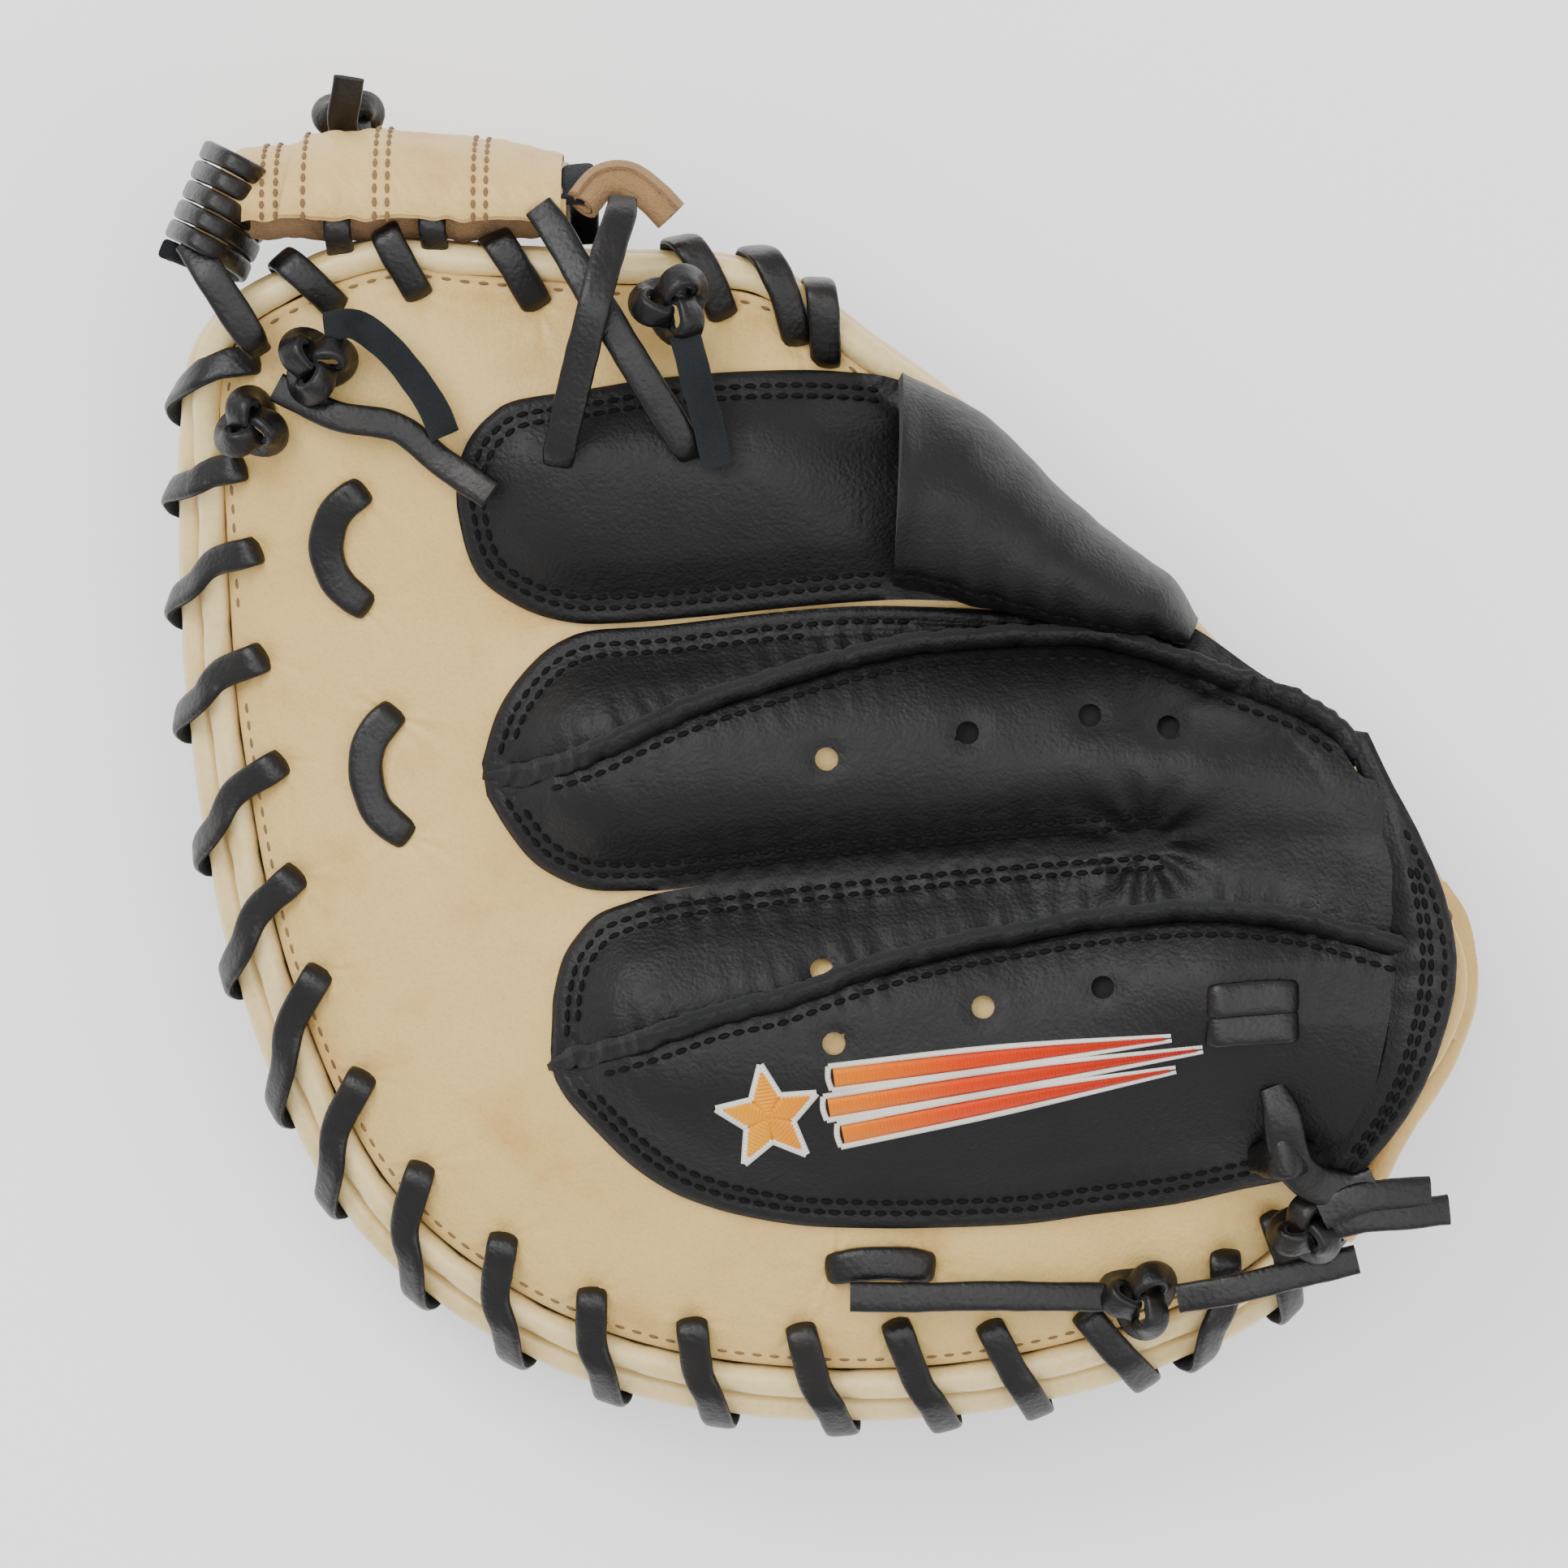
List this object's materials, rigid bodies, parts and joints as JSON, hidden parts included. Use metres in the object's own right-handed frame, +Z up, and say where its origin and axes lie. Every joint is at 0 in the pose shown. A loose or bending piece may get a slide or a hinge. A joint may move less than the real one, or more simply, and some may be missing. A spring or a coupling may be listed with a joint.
{
  "type": "baseball catchers mitt",
  "caption": "Round padded baseball catcher's mitt for the left hand, with a laced rim, stitched finger back, thumb hood, laced web and a folding pocket.",
  "frame": {"origin": "middle of the outer box, on the floor that the palm's rim lies on; the free lace ends are not counted", "axes": "+Z up out of the back of the hand, +X from the finger tips towards the wrist, +Y towards the thumb side"},
  "size_m": [0.2778, 0.287, 0.0973],
  "materials": {
    "tan_leather": "smooth tan steerhide, soft satin",
    "black_leather": "black grained leather, soft sheen",
    "cream_welt": "pale cream rolled welt, slight gloss",
    "black_lace": "black rawhide lace, grain side glossy, flesh side dull",
    "suede": "raw brown suede, flesh side and cut edges",
    "felt_padding": "pressed wool felt padding",
    "stiffener_plastic": "matte sheet plastic",
    "embroidery_thread": "satin-stitched rayon thread, yellow to red with a white border"
  },
  "bodies": {
    "finger_side": {"back_shell_finger_side": "tan_leather", "back_welt_finger_side": "cream_welt", "embroidery": "embroidery_thread", "heel_binding": "tan_leather", "heel_knot": "black_lace", "heel_knot_tail_left": "black_lace", "heel_knot_tail_right": "black_lace", "heel_pad": "felt_padding", "heel_tab": "tan_leather", "index_back_panel": "black_leather", "middle_back_panel": "black_leather", "pad_loop_heel": "black_lace", "pad_loop_middle": "black_lace", "palm_lining_finger_side": "tan_leather", "palm_pad_finger_side": "felt_padding", "palm_shell_finger_side": "black_leather", "palm_welt_finger_side": "cream_welt", "pinky_back_panel": "black_leather", "rim_lace_fingers": "black_lace", "ring_back_panel": "black_leather", "seam_welt_index": "black_leather", "seam_welt_ring": "black_leather", "wrist_band": "black_leather", "wrist_knot": "black_lace", "wrist_knot_tail": "black_lace", "wrist_lace_loop": "black_lace", "wrist_lace_tab": "black_lace"},
    "thumb_side": {"back_shell_thumb_side": "tan_leather", "back_welt_thumb_side": "cream_welt", "pad_loop_upper": "black_lace", "palm_lining_thumb_side": "tan_leather", "palm_pad_thumb_side": "felt_padding", "palm_shell_thumb_side": "black_leather", "palm_welt_thumb_side": "cream_welt", "rim_lace_thumb": "black_lace", "rim_lace_tips": "black_lace", "thumb_back_panel": "black_leather", "thumb_hood": "black_leather", "thumb_stiffener": "stiffener_plastic", "tip_knot_lower": "black_lace", "tip_knot_lower_tail": "black_lace", "tip_knot_upper": "black_lace", "tip_knot_upper_tail": "black_lace", "web_end_lace": "black_lace", "web_end_roll": "suede", "web_knot": "black_lace", "web_knot_tail": "black_lace", "web_lining": "suede", "web_panel": "tan_leather", "web_strap_crossed": "black_lace", "web_strap_straight": "black_lace", "web_strap_tip": "black_lace", "web_tip_roll": "tan_leather", "web_top_knot": "black_lace", "web_top_tail": "black_lace", "web_wrap_lace": "black_lace"}
  },
  "joints": [
    {"name": "pocket_close", "type": "hinge", "parent": "finger_side", "child": "thumb_side", "pos_m": [0, 0.02611, 0.032], "axis": [-1, 0, 0], "range_deg": [0, 22], "stiffness_Nm_per_rad": 1.2, "springref_deg": -20.05}
  ]
}
